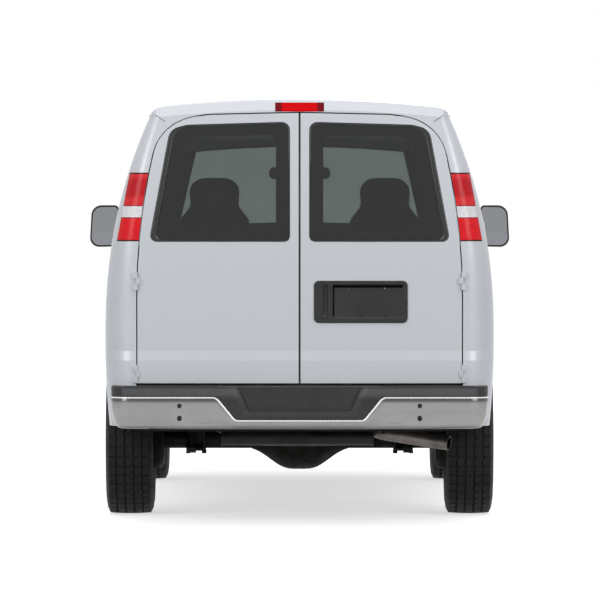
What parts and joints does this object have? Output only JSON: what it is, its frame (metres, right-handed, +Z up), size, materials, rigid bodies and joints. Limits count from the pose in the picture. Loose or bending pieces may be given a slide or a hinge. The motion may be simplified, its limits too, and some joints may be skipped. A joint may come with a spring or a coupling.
{
  "type": "cargo van",
  "caption": "Full-size panel cargo van with glazed rear doors, side loading doors, hollow load space, ladder frame, leaf-sprung rear axle and steered front wheels.",
  "frame": {"origin": "on the ground, under the centre of the overall box", "axes": "+Y forwards, towards the bonnet; +X towards the passenger's side; +Z up"},
  "size_m": [2.374, 5.692, 2.1443],
  "materials": {
    "paint": "gloss metallic",
    "chrome": "polished",
    "black_plastic": "satin grain",
    "lamp_red": "gloss clear",
    "lamp_clear": "gloss clear",
    "glass": "clear",
    "glass_tinted": "tinted",
    "tyre": "matte",
    "wheel_steel": "satin silver",
    "frame_black": "satin",
    "cast": "rough",
    "exhaust_steel": "dulled",
    "floor_paint": "satin",
    "cab_plastic": "grained",
    "seat_cloth": "woven"
  },
  "bodies": {
    "chassis": {"frame_rails": "frame_black", "floor_pan": "floor_paint", "body_side_left": "paint", "body_side_right": "paint", "roof_panel": "paint", "cowl_panel": "paint", "front_clip": "paint", "grille": "black_plastic", "headlamps": "lamp_clear", "front_bumper": "chrome", "rear_bumper": "chrome", "bumper_step_pad": "black_plastic", "tail_lamps": "lamp_red", "high_mount_lamp": "lamp_red", "windshield": "glass", "quarter_glasses": "glass", "engine_block": "cast", "driveline": "cast", "exhaust": "exhaust_steel", "fuel_tank": "black_plastic", "spare_tyre": "tyre", "rear_axle": "cast", "leaf_springs": "frame_black", "front_suspension": "frame_black", "dashboard": "cab_plastic", "front_seats": "seat_cloth"},
    "rear_door_left": {"rear_door_left": "paint", "rear_glass_left": "glass_tinted"},
    "rear_door_right": {"rear_door_right": "paint", "rear_glass_right": "glass_tinted", "plate_bezel": "black_plastic"},
    "front_door_left": {"front_door_left": "paint", "front_glass_left": "glass", "mirror_left": "black_plastic"},
    "front_door_right": {"front_door_right": "paint", "front_glass_right": "glass", "mirror_right": "black_plastic"},
    "side_door_front": {"side_door_front": "paint"},
    "side_door_rear": {"side_door_rear": "paint"},
    "hood": {"hood": "paint"},
    "fuel_door": {"fuel_door": "paint"},
    "knuckle_left": {"knuckle_left": "cast"},
    "knuckle_right": {"knuckle_right": "cast"},
    "steering_wheel": {"steering_wheel": "black_plastic"},
    "wheel_front_left": {"tyre_front_left": "tyre", "wheel_front_left": "wheel_steel"},
    "wheel_front_right": {"tyre_front_right": "tyre", "wheel_front_right": "wheel_steel"},
    "wheel_rear_left": {"tyre_rear_left": "tyre", "wheel_rear_left": "wheel_steel"},
    "wheel_rear_right": {"tyre_rear_right": "tyre", "wheel_rear_right": "wheel_steel"}
  },
  "joints": [
    {"name": "knuckle_left_steer", "type": "hinge", "parent": "chassis", "child": "knuckle_left", "pos_m": [-0.775, 1.911, 0.382], "axis": [0, 0, 1], "range_deg": [-33, 33]},
    {"name": "knuckle_right_steer", "type": "hinge", "parent": "chassis", "child": "knuckle_right", "pos_m": [0.775, 1.911, 0.382], "axis": [0, 0, 1], "range_deg": [-33, 33]},
    {"name": "steering_wheel_turn", "type": "hinge", "parent": "chassis", "child": "steering_wheel", "pos_m": [-0.47, 1.18, 1.1842], "axis": [0, -0.8911, 0.4538], "range_deg": [-545, 545]},
    {"name": "rear_door_left_swing", "type": "hinge", "parent": "chassis", "child": "rear_door_left", "pos_m": [-0.8115, -2.688, 1], "axis": [0, 0, -1], "range_deg": [0, 165]},
    {"name": "rear_door_right_swing", "type": "hinge", "parent": "chassis", "child": "rear_door_right", "pos_m": [0.8115, -2.688, 1], "axis": [0, 0, 1], "range_deg": [0, 165]},
    {"name": "front_door_left_swing", "type": "hinge", "parent": "chassis", "child": "front_door_left", "pos_m": [-0.97767, 1.403, 1.253], "axis": [-0.0995, 0, -0.995], "range_deg": [0, 68]},
    {"name": "front_door_right_swing", "type": "hinge", "parent": "chassis", "child": "front_door_right", "pos_m": [0.97767, 1.403, 1.253], "axis": [-0.0995, 0, 0.995], "range_deg": [0, 68]},
    {"name": "side_door_front_swing", "type": "hinge", "parent": "chassis", "child": "side_door_front", "pos_m": [0.99007, 0.379, 1.253], "axis": [-0.0995, 0, 0.995], "range_deg": [0, 90]},
    {"name": "side_door_rear_swing", "type": "hinge", "parent": "chassis", "child": "side_door_rear", "pos_m": [0.99652, -0.859, 1.253], "axis": [0.0995, 0, -0.995], "range_deg": [0, 90]},
    {"name": "hood_lift", "type": "hinge", "parent": "chassis", "child": "hood", "pos_m": [0, 2.032, 1.384], "axis": [1, 0, 0], "range_deg": [0, 50]},
    {"name": "fuel_door_swing", "type": "hinge", "parent": "chassis", "child": "fuel_door", "pos_m": [-1.0045, 0.372, 1.0075], "axis": [0, 0, -1], "range_deg": [0, 100]},
    {"name": "wheel_front_left_spin", "type": "hinge", "parent": "knuckle_left", "child": "wheel_front_left", "pos_m": [-0.8725, 1.911, 0.382], "axis": [-1, 0, 0], "continuous": true},
    {"name": "wheel_rear_left_spin", "type": "hinge", "parent": "chassis", "child": "wheel_rear_left", "pos_m": [-0.8725, -1.518, 0.382], "axis": [-1, 0, 0], "continuous": true},
    {"name": "wheel_front_right_spin", "type": "hinge", "parent": "knuckle_right", "child": "wheel_front_right", "pos_m": [0.8725, 1.911, 0.382], "axis": [-1, 0, 0], "continuous": true},
    {"name": "wheel_rear_right_spin", "type": "hinge", "parent": "chassis", "child": "wheel_rear_right", "pos_m": [0.8725, -1.518, 0.382], "axis": [-1, 0, 0], "continuous": true}
  ],
  "couplings": [
    {"joint": "knuckle_right_steer", "follows": "knuckle_left_steer", "ratio": 1},
    {"joint": "steering_wheel_turn", "follows": "knuckle_left_steer", "ratio": 16.5}
  ]
}
